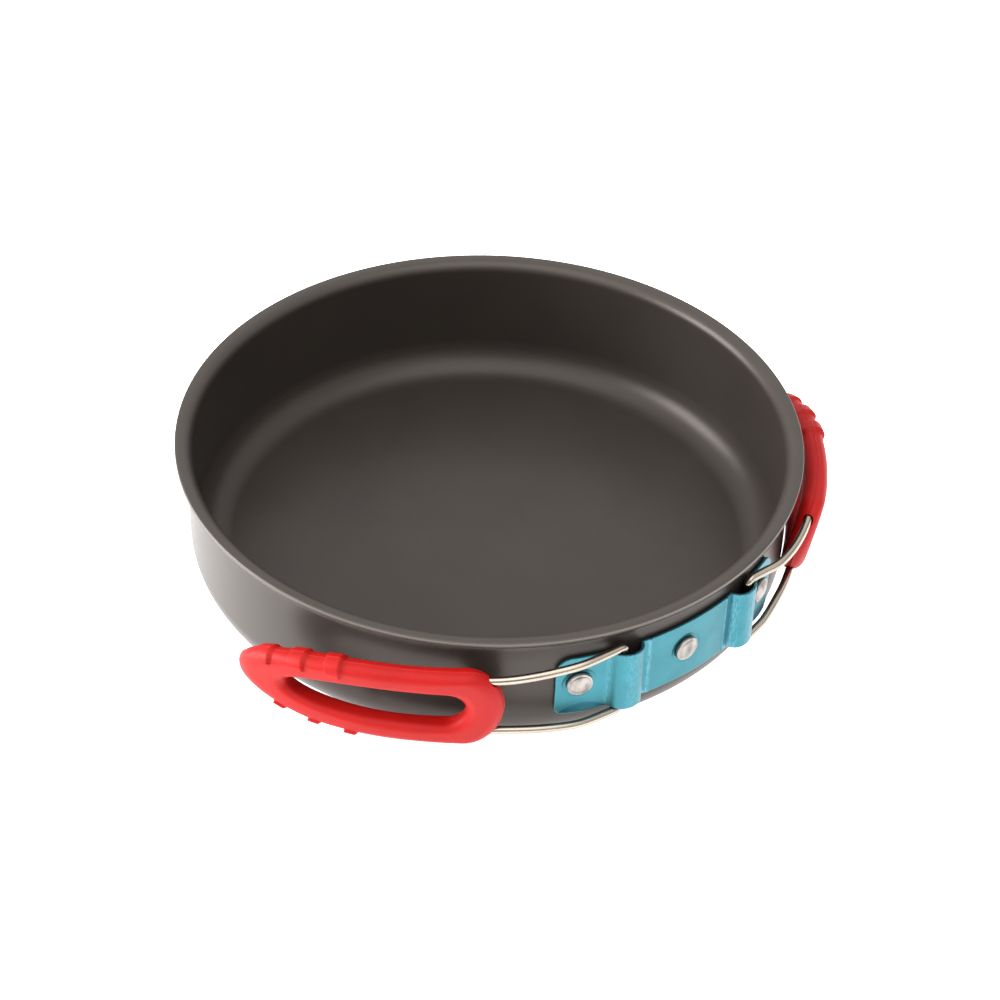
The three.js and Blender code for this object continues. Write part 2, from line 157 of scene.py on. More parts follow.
WIRE_RADIUS = 1.3
WIRE_SIDES = 28
HANDLE_MIDDLE = (STRAP_BOTTOM + STRAP_TOP) / 2
ARM_RISE = (STRAP_TOP - STRAP_BOTTOM) / 2 + CLEARANCE + WIRE_RADIUS
LEG_END_RISE = 3.2                # where a pivot leg ends, above or below the middle
LEG_END_ROUND = 0.25
LEG_END_SHARE = 0.05              # share of the path's first step that the rounding takes
BEND_RADIUS = 2.2
BEND_STEPS = 12
# Route of the wire from the pivot to the grip: angle from the bracket, radius, and the share
# of the handle's settling that reaches it.
ARM_ROUTE = [(17.6, 100.3, 0.3), (22.0, 102.0, 0.8), (27.0, 102.6, 1), (32.0, 103.0, 1)]
ARM_STEPS = 72
ARM_LEVEL_SHARE = 0.25            # share of the arm's run before it changes its height
LIMB_STEPS = 40
TURN_STEPS = 22
ENTRY_RUN = 7                     # length over which the arm joins the grip's curve

GRIP_START = np.array([57.8, -85.4])
GRIP_START_ANGLE = 32             # degrees, direction of the grip there, from +X
GRIP_BEND = 120                   # plan radius of the grip
GRIP_DROOP = 0.035                # how far the grip sinks per millimetre of its length
GRIP_THICKNESS = 7.0
GRIP_CROWN = 0.22                 # how far a limb's face swells in its middle
# Side view of the grip and of its finger hole, measured along the grip: an elliptical near end
# from start to near, straight sides from near to far, and a long tapering far end up to end.
GRIP_SIDE = {"start": 1.2, "near": 12, "far": 30, "end": 84.2, "half": 14.2, "power": 2.2}
HOLE_SIDE = {"start": 12.3, "near": 19, "far": 30, "end": 67, "half": 6.6, "power": 2.4}
OUTLINE_STEPS = (130, 60, 560)    # points round a near end, along a straight side, round a far end
# Rounding of a limb's two edges: in the middle, and what the far end and the near end add.
OUTER_ROUND = {"middle": 3.2, "far": 3.6, "near": 1.0}
HOLE_ROUND = {"middle": 2.7, "far": 0.8, "near": 0.8}
FAR_EASE = (60, 82)               # stretch of the grip over which the far end's rounding grows
NEAR_EASE = (2, 12)               # stretch over which the near end's rounding fades
OUTER_CREST = 0.3                 # half width of the flat crest on the outer edge
HOLE_CREST = 1.0
CREST_STEPS = 9
CORNER_STEPS = 13
FACE_STEPS = 10
SEAM_RISE = 0.2                   # moulding seam along the outer crest
HOLE_SEAM_RISE = 0.05
WIRE_ENTRY = 4.5                  # where the wire meets the grip's own curve
WIRE_TURN = 58                    # where the wire's far bend starts
WIRE_END = 75                     # far end of the wire's bend
BORE_RADIUS = 1.42
BORE_SIDES = 24
BORE_OVERRUN = 6                  # how far the bore is cut on outside the grip
MOUTH_RADIUS = 1.75
MOUTH_DEPTH = 2.2
RIB_SPACING = 11.25
RIB_COUNT = 3
PAD_START = 48.5                  # near edge of the first pad on the upper limb
PAD_LENGTH = 5.1
PAD_REACH = 6.9                   # how far a pad comes down the face of the limb
PAD_RISE = 1.3
PAD_FALL = 0.1                    # share of its height that a pad loses along its length
PAD_THINNING = 0.3                # share that it loses down the face of the limb
PAD_BACK = 0.3                    # share of its height on the back of the limb
PAD_BACK_FADE = 4.2               # how far down the back it takes to fade to that share
PAD_NEAR_EDGE = 0.2
PAD_FAR_EDGE = 0.3
BUMP_START = 43.9                 # near edge of the first bump under the lower limb
BUMP_LENGTH = 4.1
BUMP_REACH = 4.2
BUMP_RISE = 1.1
BUMP_EDGE = 0.35
BUMP_FOOT = 0.45

# The pivot legs are loose in the knuckles, so each folded handle settles in its own way: lean is
# how far its foot tips towards the pan per millimetre of height, inset how far it shifts in, and
# turn how many degrees it swings in about its pivot.
HANDLES = [
    {"word": "left", "side": -1, "lean": 0.045, "inset": 0, "turn": 0, "shift": 0},
    {"word": "right", "side": 1, "lean": 0.17, "inset": 0.6, "turn": 1.0, "shift": RIGHT_SHIFT},
]

# Camera: azimuth, elevation and roll in degrees, distance to the middle of the lip in millimetres,
# and where the middle of the lip stands in the frame, as shares of its width from the centre.
CAMERA_AZIMUTH = -38.89
CAMERA_ELEVATION = 39.50
CAMERA_ROLL = 2.139
CAMERA_DISTANCE = 796.8
CAMERA_LENS = 90
CAMERA_SENSOR = 36
LIP_ACROSS = -0.00995
LIP_DOWN = -0.06959

# Studio: directions in degrees, distances and sizes in metres, and powers in watts.
ROOM_LEVEL = 1.4
SOFTBOXES = [
    {"name": "left", "azimuth": CAMERA_AZIMUTH - 88, "elevation": 20, "distance": 1.3, "size": 0.8,
     "power": 32},
    {"name": "top", "azimuth": CAMERA_AZIMUTH - 5, "elevation": 68, "distance": 1.6, "size": 1.7,
     "power": 19},
]
FLOOR_WHITE = 0.93
FLOOR_GLOW = 1.15
FLOOR_HALF = 12000                # half width of the floor, in millimetres
FLOOR_DROP = 0.15                 # how far it lies below the pan


# ---------------------------------------------------------------- small helpers
def polar(angle, radius):
    """Plan point at an angle from the middle of the bracket, towards +X, and a radius."""
    a = np.radians(angle)
    return np.array([radius * np.sin(a), -radius * np.cos(a)])


def smoothstep(x, low, high):
    t = np.clip((np.asarray(x, float) - low) / (high - low), 0, 1)
    return t * t * (3 - 2 * t)


def arc(cx, cy, rx, ry, start, end, count):
    a = np.radians(np.linspace(start, end, count))
    return np.stack([cx + rx * np.cos(a), cy + ry * np.sin(a)], 1)


def bell(x, middle, width):
    return np.exp(-((np.asarray(x, float) - middle) / width) ** 2)


def run_length(path):
    """Distance of each point of a path from its start, along the path."""
    return np.concatenate([[0], np.cumsum(np.linalg.norm(np.diff(path, axis=0), axis=1))])


def spline(knots, samples):
    """Points of a uniform Catmull-Rom curve through the knots, at samples from 0 to 1."""
    knots = np.asarray(knots, float)
    last = len(knots) - 1
    place = np.asarray(samples) * last
    i = np.minimum(place.astype(int), last - 1)
    t = (place - i)[:, None]
    p0 = knots[np.maximum(i - 1, 0)]
    p1 = knots[i]
    p2 = knots[i + 1]
    p3 = knots[np.minimum(i + 2, last)]
    v0 = (p2 - p0) / 2
    v1 = (p3 - p1) / 2
    cubic = 2 * p1 - 2 * p2 + v0 + v1
    square = -3 * p1 + 3 * p2 - 2 * v0 - v1
    return cubic * t ** 3 + square * t ** 2 + v0 * t + p1


def grid_faces(rows, columns, wrap_rows, wrap_columns):
    """Quads of a grid of points, numbered row by row."""
    r = np.arange(rows if wrap_rows else rows - 1)
    c = np.arange(columns if wrap_columns else columns - 1)
    rr, cc = np.meshgrid(r, c, indexing="ij")
    next_r = (rr + 1) % rows
    next_c = (cc + 1) % columns
    quads = np.stack([
        rr * columns + cc, rr * columns + next_c, next_r * columns + next_c, next_r * columns + cc,
    ], -1)
    return quads.reshape(-1, 4).tolist()


def signed_volume(points, faces):
    total = 0.0
    for size in {len(face) for face in faces}:
        corners = points[np.array([face for face in faces if len(face) == size])]
        for i in range(1, size - 1):
            normals = np.cross(corners[:, i], corners[:, i + 1])
            total += float(np.sum(corners[:, 0] * normals))
    return total


def new_object(name, points, faces, attributes=None):
    """A smooth mesh object from points in millimetres, with its faces pointing out."""
    points = np.asarray(points, float)
    if signed_volume(points, faces) < 0:
        faces = [face[::-1] for face in faces]
    mesh = bpy.data.meshes.new(name)
    mesh.from_pydata((points * MM).tolist(), [], faces)
    for key, values in (attributes or {}).items():
        layer = mesh.attributes.new(key, "FLOAT", "POINT")
        layer.data.foreach_set("value", np.asarray(values, np.float32))
    mesh.update()
    made = bpy.data.objects.new(name, mesh)
    bpy.context.scene.collection.objects.link(made)
    return made


def lathe(profile, segments):
    """Points and faces of a profile, from axis to axis, turned about Z."""
    profile = np.asarray(profile, float)
    ring = profile[1:-1]
    turn = np.linspace(0, 2 * np.pi, segments, endpoint=False)
    x = ring[:, :1] * np.sin(turn)
    y = -ring[:, :1] * np.cos(turn)
    z = np.repeat(ring[:, 1:2], segments, 1)
    points = np.stack([x, y, z], -1).reshape(-1, 3)
    faces = grid_faces(len(ring), segments, False, True)
    first = len(points)
    points = np.vstack([points, [0, 0, profile[0, 1]], [0, 0, profile[-1, 1]]])
    base = (len(ring) - 1) * segments
    for i in range(segments):
        j = (i + 1) % segments
        faces.append([first, j, i])
        faces.append([first + 1, base + i, base + j])
    return points, faces


def tube(path, radii, sides):
    """Points and faces of a round tube along a path, closed at both ends."""
    path = np.asarray(path, float)
    tangents = np.gradient(path, axis=0)
    tangents /= np.linalg.norm(tangents, axis=1)[:, None]
    side = np.cross(tangents[0], [0.3, 0.2, 0.9])
    side /= np.linalg.norm(side)
    rings = []
    turn = np.linspace(0, 2 * np.pi, sides, endpoint=False)
    for point, tangent, radius in zip(path, tangents, np.broadcast_to(radii, len(path))):
        side = side - tangent * np.dot(side, tangent)
        side /= np.linalg.norm(side)
        other = np.cross(tangent, side)
        rings.append(point + radius * (np.outer(np.cos(turn), side) + np.outer(np.sin(turn), other)))
    points = np.vstack(rings)
    faces = grid_faces(len(path), sides, False, True)
    last = (len(path) - 1) * sides
    faces.append(list(range(sides))[::-1])
    faces.append(list(range(last, last + sides)))
    return points, faces


def cut(target, cutter):
    """Takes the cutter's solid out of the target, and removes the cutter."""
    modifier = target.modifiers.new("cut", "BOOLEAN")
    modifier.operation = "DIFFERENCE"
    modifier.solver = "EXACT"
    modifier.object = cutter
    bpy.context.view_layer.update()
    evaluated = target.evaluated_get(bpy.context.evaluated_depsgraph_get())
    result = bpy.data.meshes.new_from_object(evaluated)
    target.modifiers.clear()
    old = target.data
    target.data = result
    bpy.data.meshes.remove(old)
    result.name = target.name
    bpy.data.objects.remove(cutter)


def finish_piece(piece, material, body, node, sharp=35):
    """Shades a piece, gives it its material, ties it to its body, and hides the CAD node's part that it
    replaces.
    """
    piece.data.polygons.foreach_set("use_smooth", [True] * len(piece.data.polygons))
    piece.data.set_sharp_from_angle(angle=math.radians(sharp))
    piece.data.materials.clear()
    piece.data.materials.append(material)
    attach(piece, body)
    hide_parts(node)


# ---------------------------------------------------------------- materials
def linear(red, green, blue):
    """Linear colour of three 0 to 255 screen values."""
    def one(value):
        value /= 255
        return value / 12.92 if value <= 0.04045 else ((value + 0.055) / 1.055) ** 2.4
    return (one(red), one(green), one(blue), 1)


class Shader:
    """A material with one Principled shader, and short names for the nodes that feed it."""

    def __init__(self, name, metallic, roughness):
        self.material = bpy.data.materials.new(name)
        self.material.use_nodes = True
        self.tree = self.material.node_tree
        self.surface = self.tree.nodes["Principled BSDF"]
        self.surface.inputs["Metallic"].default_value = metallic
        self.surface.inputs["Roughness"].default_value = roughness
        self.place = self.tree.nodes.new("ShaderNodeTexCoord").outputs["Object"]

    def node(self, kind, **inputs):
        made = self.tree.nodes.new(kind)
        for key, value in inputs.items():
            socket = made.inputs[key.replace("_", " ")]
            if isinstance(value, bpy.types.NodeSocket):
                self.tree.links.new(value, socket)
            else:
                socket.default_value = value
        return made

    def noise(self, size_mm, detail=3, stretch=(1, 1, 1), place=None):
        """A 0 to 1 noise whose features are about size_mm across."""
        vector = self.node("ShaderNodeMapping", Vector=place or self.place, Scale=stretch)
        made = self.node(
            "ShaderNodeTexNoise", Vector=vector.outputs[0], Scale=1 / (size_mm * MM), Detail=detail)
        return made.outputs[0]

    def ramp(self, value, low, high, to_low=0.0, to_high=1.0):
        made = self.node("ShaderNodeMapRange", Value=value)
        made.inputs["From Min"].default_value = low
        made.inputs["From Max"].default_value = high
        made.inputs["To Min"].default_value = to_low
        made.inputs["To Max"].default_value = to_high
        return made.outputs[0]

    def math(self, operation, first, second):
        made = self.tree.nodes.new("ShaderNodeMath")
        made.operation = operation
        for socket, value in zip(made.inputs, (first, second)):
            if isinstance(value, bpy.types.NodeSocket):
                self.tree.links.new(value, socket)
            else:
                socket.default_value = value
        return made.outputs[0]

    def mix(self, share, first, second):
        made = self.tree.nodes.new("ShaderNodeMix")
        made.data_type = "RGBA"
        for key, value in (("Factor", share), ("A", first), ("B", second)):
            socket = [s for s in made.inputs if s.name == key and s.enabled][0]
            if isinstance(value, bpy.types.NodeSocket):
                self.tree.links.new(value, socket)
            else:
                socket.default_value = value
        return [s for s in made.outputs if s.enabled][0]

    def attribute(self, name):
        made = self.tree.nodes.new("ShaderNodeAttribute")
        made.attribute_name = name
        return made.outputs["Fac"]

    def bump(self, height, depth_mm, normal=None):
        made = self.node("ShaderNodeBump", Height=height, Distance=depth_mm * MM, Strength=1.0)
        if normal is not None:
            self.tree.links.new(normal, made.inputs["Normal"])
        return made.outputs[0]

    def feed(self, socket, value):
        self.tree.links.new(value, self.surface.inputs[socket])


def hard_anodised():
    """Dark, dense oxide on spun aluminium: fine grain, faint spin rings, and a paler lip, partly worn
    and partly a painted highlight.
    """
    s = Shader("hard_anodised", 0.1, 0.36)
    s.surface.inputs["Specular IOR Level"].default_value = 0.31
    s.surface.inputs["Specular Tint"].default_value = (1, 0.93, 0.87, 1)
    grain = s.noise(0.35, 2)
    cloud = s.noise(26, 3)
    base = s.mix(s.ramp(cloud, 0.35, 0.65), linear(46, 41, 38), linear(49, 44, 40))
    base = s.mix(s.ramp(grain, 0.3, 0.7, 0, 0.35), base, linear(42, 37, 33))
    # Paler along the lip: partly wear, partly a painted highlight where the lip catches the light.
    s.feed("Base Color", s.mix(s.attribute("wear_and_painted_highlight"), base, linear(140, 132, 126)))
    s.feed("Roughness", s.ramp(grain, 0.3, 0.7, 0.34, 0.4))
    rings = s.node("ShaderNodeTexWave", Vector=s.place, Scale=330.0, Distortion=0.6)
    rings.wave_type = "RINGS"
    rings.rings_direction = "Z"
    s.feed("Normal", s.bump(grain, 0.006, s.bump(rings.outputs["Fac"], 0.0015)))
    return s.material


def teal_anodised():
    """Dyed aluminium strap: satin, mottled, and rubbed pale along its folds, with painted highlights on
    its knuckles and painted shade in the hollows of its tabs.
    """
    s = Shader("teal_anodised", 0.86, 0.38)
    cloud = s.noise(7, 4)
    grain = s.noise(0.4, 3, (1, 1, 0.35))
    base = s.mix(s.ramp(cloud, 0.3, 0.7), linear(49, 106, 116), linear(54, 116, 127))
    # Painted shade: a darker teal painted into the hollow of each tab's bent lower lip.
    base = s.mix(s.attribute("painted_shade"), base, linear(27, 76, 92))
    # Pale scuffs from the wear mask: real wear along folds and edges, and painted highlights on the
    # knuckles' crowns and feet.
    scuff_and_highlight = s.math("MULTIPLY", s.attribute("wear_and_painted_highlight"), s.ramp(s.noise(0.55, 5, (1, 1, 0.3)), 0.36, 0.62))
    s.feed("Base Color", s.mix(scuff_and_highlight, base, linear(98, 156, 174)))
    s.feed("Roughness", s.ramp(grain, 0.3, 0.7, 0.34, 0.44))
    s.feed("Normal", s.bump(grain, 0.008, s.bump(cloud, 0.03)))
    return s.material


def bare_aluminium():
    """Rivet heads: bright, slightly smeared by the setting tool."""
    s = Shader("bare_aluminium", 0.92, 0.32)
    smear = s.noise(2.4, 4, (1, 1, 0.5))
    s.feed("Base Color", s.mix(s.ramp(smear, 0.42, 0.7), linear(148, 142, 137), linear(108, 103, 99)))
    s.feed("Roughness", s.ramp(smear, 0.35, 0.7, 0.28, 0.42))
    s.feed("Normal", s.bump(smear, 0.05))
    return s.material


def stainless_wire():
    """Drawn wire: long faint die lines along it, and a semi-bright finish."""
    s = Shader("stainless_wire", 1.0, 0.22)
    lines = s.node("ShaderNodeCombineXYZ", X=s.attribute("around"), Y=s.attribute("along"))
    streaks = s.noise(1000, 3, (9, 0.05, 1), lines.outputs[0])
    s.feed("Base Color", s.mix(s.ramp(streaks, 0.3, 0.7), linear(140, 130, 118), linear(170, 161, 149)))
    s.feed("Roughness", s.ramp(streaks, 0.3, 0.7, 0.17, 0.27))
    s.feed("Normal", s.bump(streaks, 0.01))
    return s.material


def red_silicone():
    """Moulded silicone: even red, satin skin, faint pores and a few pale specks of dust."""
    s = Shader("red_silicone", 0.0, 0.5)
    s.surface.inputs["Specular IOR Level"].default_value = 0.18
    s.surface.inputs["Subsurface Weight"].default_value = 0.35
    s.surface.inputs["Subsurface Radius"].default_value = (1, 0.18, 0.12)
    s.surface.inputs["Subsurface Scale"].default_value = 0.003
    cloud = s.noise(18, 3)
    pores = s.noise(0.45, 3)
    base = s.mix(s.ramp(cloud, 0.35, 0.65), linear(149, 11, 7), linear(157, 13, 9))
    dust = s.ramp(s.noise(0.8, 6), 0.73, 0.8, 0, 0.35)
    s.feed("Base Color", s.mix(dust, base, linear(196, 60, 52)))
    s.feed("Roughness", s.ramp(pores, 0.3, 0.7, 0.45, 0.55))
    s.feed("Normal", s.bump(pores, 0.012))
    return s.material


# ---------------------------------------------------------------- pan body
def pan_profile():
    """Radius and height round the pan's section, from the middle of its base to that of its floor."""
    inner = WALL_OUTER - WALL_THICKNESS
    flat = WALL_OUTER - CORNER_RADIUS
    inner_corner = CORNER_RADIUS - WALL_THICKNESS
    under = arc(WALL_OUTER + FLARE_RADIUS, FLARE_START, FLARE_RADIUS, FLARE_RADIUS,
                180, 180 - FLARE_ANGLE, 20)
    roll = arc(inner + ROLL_RADIUS, ROLL_START, ROLL_RADIUS, ROLL_RADIUS, 180 - ROLL_ANGLE, 180, 24)
    lip_x = LIP_RADIUS - LIP_ROUND
    lip_low = under[-1, 1] + LIP_BEAD
    rings = np.linspace(CENTRE_RADIUS, flat - FLAT_MARGIN, FLAT_STEPS)
    wall = np.linspace(CORNER_RADIUS, FLARE_START, WALL_STEPS)[1:-1]
    inside = np.linspace(ROLL_START, CORNER_RADIUS, WALL_STEPS)[1:-1]
    return np.vstack([
        [[0, 0]],
        [[r, 0.0] for r in rings],
        arc(flat, CORNER_RADIUS, CORNER_RADIUS, CORNER_RADIUS, -90, 0, PAN_CORNER_STEPS),
        [[WALL_OUTER, z] for z in wall],
        under,
        arc(lip_x, lip_low + LIP_ROUND, LIP_ROUND, LIP_ROUND, -80, 0, 7),
        arc(lip_x, PAN_HEIGHT - LIP_ROUND, LIP_ROUND, LIP_ROUND, 0, 84, 8),
        roll,
        [[inner, z] for z in inside],
        arc(flat, CORNER_RADIUS, inner_corner, inner_corner, 0, -90, PAN_CORNER_STEPS),
        [[r, WALL_THICKNESS] for r in np.linspace(flat - FLAT_MARGIN, CENTRE_RADIUS, FLAT_STEPS)],
        [[0, WALL_THICKNESS]],
    ])


def drill_rivet_holes(piece, start, end):
    """Cuts the three rivet holes into a piece, between two distances from the pan's axis."""
    for angle in RIVETS.values():
        path = [[*polar(angle, r), RIVET_HEIGHT] for r in (start, (start + end) / 2, end)]
        cut(piece, new_object("rivet_hole", *tube(path, RIVET_SHANK + HOLE_PLAY, HOLE_SIDES)))


def pan_body(material):
    points, faces = lathe(pan_profile(), PAN_SEGMENTS)
    radius, z = np.hypot(points[:, 0], points[:, 1]), points[:, 2]
    # Paler lip edge and top of the rolled lip: partly wear and partly a painted highlight.
    wear_and_painted_highlight = EDGE_WEAR_AND_HIGHLIGHT * bell(radius, LIP_RADIUS, 0.3) * bell(z, PAN_HEIGHT - LIP_ROUND, 0.35)
    wear_and_painted_highlight += LIP_WEAR_AND_SHEEN * smoothstep(z, ROLL_START, PAN_HEIGHT - 1)
    pan = new_object("pan_body_spun", points, faces, {"wear_and_painted_highlight": wear_and_painted_highlight})
    drill_rivet_holes(pan, WALL_OUTER - 4, WALL_OUTER + 2)
    finish_piece(pan, material, "pan", "pan_body", sharp=40)


# ---------------------------------------------------------------- bracket
def knuckle_middle(side):
    """Distance along the pan's wall from the middle of the bracket to a knuckle."""
    return math.radians(KNUCKLE_ANGLE + (RIGHT_SHIFT if side > 0 else 0)) * STRAP_MID


def strap_midline(side):
    """Fine plan line of half the strap: distance along the pan's wall, and distance out."""
    middle = knuckle_middle(side)
    end = math.radians(STRAP_END_ANGLE) * STRAP_MID
    knots = [(middle + along, out) for along, out in KNUCKLE]
    first, last = knots[0][0], knots[-1][0]
    knots = [(first - BENT_START, 0), *knots, (last + BENT_END, 0)]
    bent = spline(knots, np.linspace(0, 1, STRAP_STEPS["bent"]))
    plate = [(x, 0) for x in np.linspace(0, first - PLATE_STOP, STRAP_STEPS["plate"])]
    tab = [(x, 0) for x in np.linspace(last + TAB_START, end, STRAP_STEPS["tab"])]
    line = np.vstack([plate, bent, tab])
    run = run_length(line)
    even = np.linspace(0, run[-1], STRAP_STEPS["even"])
    line = np.stack([np.interp(even, run, line[:, 0]), np.interp(even, run, line[:, 1])], 1)
    for _ in range(STRAP_SMOOTHINGS):
        line[1:-1] = (line[:-2] + 2 * line[1:-1] + line[2:]) / 4
    u = line[:, 0] - middle
    line[:, 1] += FOLD_RISE * bell(u, FOLD_LINE, 0.35) - FOLD_SINK * bell(u, FOLD_LINE + FOLD_GAP, 0.5)
    return line


def half_strap(side):
    """Line of half the strap, with finer steps round the corners at the end of the tab."""
    line = strap_midline(side)
    end = line[-1, 0]
    tip = end - STRAP_EDGE * (1 - np.sin(np.linspace(0, np.pi / 2, 9)))
    ease = end - TAB_TOP_ROUND * (1 - np.sin(np.linspace(0, np.pi / 2, 40)))
    keep = line[:, 0] < ease[0]
    tail = np.unique(np.concatenate([ease, tip]))
    order = np.argsort(line[:, 0])
    out = np.interp(tail, line[order, 0], line[order, 1])
    return np.vstack([line[keep], np.stack([tail, out], 1)])


def corner_inset(radius, to_end):
    """How far a rounded corner draws an edge in, at a distance from the end of the tab."""
    gap = max(radius - to_end, 0)
    return radius - math.sqrt(max(radius * radius - gap * gap, 0))


def strap_section(low, high, thinning):
    """Loop round the strap's section: heights, and distances outwards from its mid-line."""
    face = np.full(FACE_POINTS, STRAP_THICKNESS / 2)
    z_face = np.linspace(low + STRAP_EDGE, high - STRAP_EDGE, FACE_POINTS)
    turn = np.radians(np.linspace(0, 90, EDGE_POINTS + 1))[1:]
    z_top = high - STRAP_EDGE + STRAP_EDGE * np.sin(turn)
    z_bottom = low + STRAP_EDGE - STRAP_EDGE * np.sin(turn)
    edge = STRAP_THICKNESS / 2 - STRAP_EDGE * (1 - np.cos(turn))
    z = np.concatenate([z_face, z_top, z_top[::-1], z_face[::-1], z_bottom, z_bottom[::-1]])
    offset = np.concatenate([face, edge, -edge[::-1], -face, -edge, edge[::-1]])
    return z, offset - np.sign(offset) * thinning


def dimple_depth(along, z, offset):
    """Depth of the ring pressed round each rivet."""
    past_side_rivet = abs(along) - math.radians(RIVET_ANGLE) * STRAP_MID
    from_rivet = np.minimum(
        np.hypot(along, z - RIVET_HEIGHT), np.hypot(past_side_rivet, z - RIVET_HEIGHT))
    depth = DIMPLE_DEPTH * (1 - smoothstep(from_rivet, DIMPLE_RADIUS - DIMPLE_SLOPE, DIMPLE_RADIUS))
    return depth * np.where(offset > 0, 1.0, DIMPLE_BACK)


def tab_lip(u, tab_end, z, offset):
    """Bent lower lip of a tab: how far it stands out, and how much painted shade darkens its hollow."""
    foot = KNUCKLE[-1][0]
    share = (u - foot + 1) / (tab_end - foot + 0.5)
    arch = LENS_HEIGHT * math.sin(math.pi * min(max(share, 0), 1)) ** 0.8
    depth = np.clip((STRAP_BOTTOM + arch - z) / max(arch, 0.3), 0, 1) if arch > 0.05 else 0 * z
    lens = LENS_DEPTH * depth ** 1.35 * min(arch / LENS_HEIGHT, 1)
    # Painted shade laid into the hollow of the bent lip, darkest partway up it.
    painted_shade = LENS_SHADE * smoothstep(depth, 0, 0.2) * (1 - smoothstep(depth, 0.45, 0.9)) * (offset > 0)
    return lens, painted_shade


def strap_wear_and_painted_highlight(u, z, offset, low, high, to_end):
    """How pale the strap is worn along its folds and edges, with painted highlights over each knuckle's
    crown and at its foot.
    """
    crease = sum(pale * bell(u, place, width) for pale, place, width in CREASES)
    rim = TOP_WEAR * bell(z, high, RIM_WIDTH) + BOTTOM_WEAR * bell(z, low, RIM_WIDTH)
    rim = rim + END_WEAR * math.exp(-to_end / RIM_WIDTH)
    # Painted highlight at the foot of each knuckle, by the strap's bottom edge.
    foot = bell(u, KNUCKLE[0][0] - 0.6, 1.6) * bell(z, low, 1.8)
    return np.clip(crease * smoothstep(offset, 0, 0.1) + rim + foot, 0, 1.2)


def strap_loops():
    """Loops of points round the strap's section from end to end, with their wear and painted
    highlights, and the painted shade in the tabs' hollows.
    """
    left, right = half_strap(-1), half_strap(1)
    end = right[-1, 0]
    line = np.vstack([left[:0:-1] * [-1, 1], right])
    tangent = np.gradient(line, axis=0)
    tangent /= np.linalg.norm(tangent, axis=1)[:, None]
    loops, wears_and_painted_highlights, painted_shades = [], [], []
    for (along, out), (tx, ty) in zip(line, tangent):
        to_end = max(end - abs(along), 0)
        middle = knuckle_middle(along)
        u = abs(along) - middle
        low = STRAP_BOTTOM + corner_inset(TAB_BOTTOM_ROUND, to_end)
        high = STRAP_TOP - corner_inset(TAB_TOP_ROUND, to_end)
        z, offset = strap_section(low, high, corner_inset(STRAP_EDGE, to_end))
        lens, painted_shade = tab_lip(u, end - middle, z, offset)
        shift = offset - dimple_depth(along, z, offset) + lens
        radius = STRAP_MID + out + shift * tx
        angles = along / STRAP_MID - shift * ty / STRAP_MID
        loops.append(np.stack([radius * np.sin(angles), -radius * np.cos(angles), z], 1))
        wears_and_painted_highlights.append(strap_wear_and_painted_highlight(u, z, offset, low, high, to_end))
        painted_shades.append(painted_shade)
    return np.array(loops), np.array(wears_and_painted_highlights), np.array(painted_shades, float)


def bracket(material):
    loops, wears_and_painted_highlights, painted_shades = strap_loops()
    count, size = loops.shape[:2]
    faces = grid_faces(count, size, False, True)
    for row in (0, (count - 1) * size):
        # The end face joins the outer half of the last loop to its inner half.
        for i in range(size // 2 - 1):
            behind = row + size - 2 * EDGE_POINTS - 1 - i
            faces.append([row + i, row + i + 1, behind - 1, behind])
    shades = {"wear_and_painted_highlight": wears_and_painted_highlights.ravel(), "painted_shade": painted_shades.ravel()}
    strap = new_object("handle_bracket_strap", loops.reshape(-1, 3), faces, shades)
    drill_rivet_holes(strap, WALL_OUTER - 2, WALL_OUTER + 6)
    finish_piece(strap, material, "pan", "handle_bracket", sharp=40)


# ---------------------------------------------------------------- rivets
def rivet_profile():
    """Radius, and distance from the pan's axis, from the inner head to the outer one."""
    inner = WALL_OUTER - WALL_THICKNESS - CLEARANCE
    head = STRAP_MID + STRAP_THICKNESS / 2 + CLEARANCE
    seat = head - DIMPLE_DEPTH
    rim = RIVET_HEAD - RIVET_RIM
    shoulder = head + RIVET_SHOULDER
    dome = [[r, shoulder + (RIVET_RISE - RIVET_SHOULDER) * (1 - (r / RIVET_DOME) ** 2) ** 0.8]
            for r in np.linspace(RIVET_DOME, 0, 14)]
    back = [[r, inner - RIVET_INNER_RISE * (1 - (r / RIVET_INNER_HEAD) ** 2) ** 0.6]
            for r in np.linspace(0, RIVET_INNER_HEAD, 14)]
    return np.vstack([
        back,
        [[RIVET_INNER_HEAD, inner + 0.1], [RIVET_SHANK, inner + 0.1]],
        [[RIVET_SHANK, seat], [RIVET_HEAD - 0.1, seat], [RIVET_HEAD, seat + 0.1]],
        arc(rim, head + RIVET_RIM_START, RIVET_RIM, RIVET_RIM_HIGH, 0, 75, 6),
        # A narrow stamped step between the rim and the dome.
        [[rim - 0.28, head + 0.7], [rim - 0.4, head + 0.73]],
        dome,
    ])


def rivet(word, angle, material):
    points, faces = lathe(rivet_profile(), RIVET_SEGMENTS)
    a = math.radians(angle)
    outward = np.array([math.sin(a), -math.cos(a), 0])
    across = np.array([math.cos(a), math.sin(a), 0])
    up = np.array([0, 0, 1])
    placed = points[:, :1] * across + points[:, 1:2] * up + points[:, 2:3] * outward
    placed[:, 2] += RIVET_HEIGHT
    made = new_object(f"rivet_{word}_set", placed, faces)
    finish_piece(made, material, "pan", f"rivet_{word}", sharp=30)


